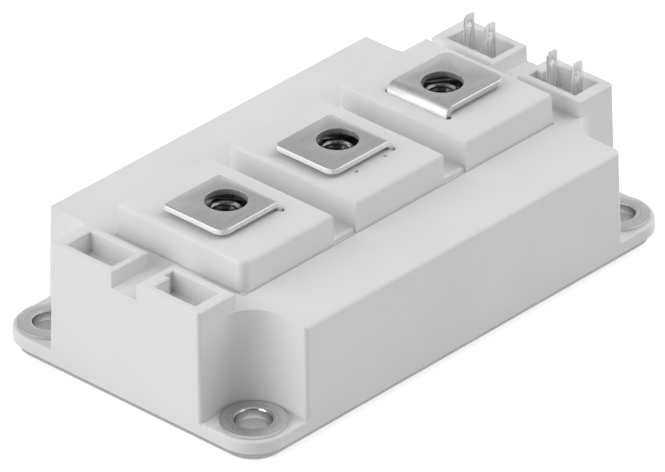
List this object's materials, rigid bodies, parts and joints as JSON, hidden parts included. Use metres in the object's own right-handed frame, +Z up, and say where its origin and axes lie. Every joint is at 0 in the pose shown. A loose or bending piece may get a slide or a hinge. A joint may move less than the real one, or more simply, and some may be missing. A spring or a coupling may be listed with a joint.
{
  "type": "igbt module",
  "caption": "Flat rectangular power semiconductor module: moulded housing on a metal base plate, corner mounting holes, raised screw terminals and small blade tabs in open sockets.",
  "frame": {"origin": "centre of the base plate's lower, mounting face", "axes": "+X along the length towards the end with the blade tabs, +Y across towards the plain sockets, +Z up from the mounting face to the screw terminals"},
  "size_m": [0.1064, 0.0614, 0.0305],
  "materials": {
    "housing_plastic": "off-white moulded plastic with a fine matte grain",
    "nickel_plated_copper": "copper plate with satin nickel plating",
    "tinned_busbar": "stamped copper strip with satin tin or nickel plating",
    "bush_steel": "turned steel, bright plated",
    "nut_steel": "plated steel",
    "sealant": "white silicone adhesive",
    "ceramic": "sintered alumina, opaque",
    "bare_copper": "etched copper",
    "silicon": "metallised silicon, opaque",
    "bond_aluminium": "drawn aluminium wire",
    "gel": "clear soft silicone gel"
  },
  "bodies": {
    "root": {"housing": "housing_plastic", "base_plate": "nickel_plated_copper", "base_seal": "sealant", "terminal_nuts": "nut_steel", "main_terminal_left": "tinned_busbar", "main_terminal_middle": "tinned_busbar", "main_terminal_right": "tinned_busbar", "mounting_bush_left_front": "bush_steel", "mounting_bush_left_rear": "bush_steel", "mounting_bush_right_front": "bush_steel", "mounting_bush_right_rear": "bush_steel", "gate_tab_far": "tinned_busbar", "sense_tab_far": "tinned_busbar", "gate_tab_near": "tinned_busbar", "sense_tab_near": "tinned_busbar", "link_wires": "bond_aluminium", "silicone_gel": "gel", "substrate_ceramic_left": "ceramic", "substrate_back_copper_left": "bare_copper", "substrate_top_copper_left": "bare_copper", "switch_chips_left": "silicon", "diode_chips_left": "silicon", "bond_wires_left": "bond_aluminium", "substrate_ceramic_right": "ceramic", "substrate_back_copper_right": "bare_copper", "substrate_top_copper_right": "bare_copper", "switch_chips_right": "silicon", "diode_chips_right": "silicon", "bond_wires_right": "bond_aluminium"}
  },
  "joints": []
}
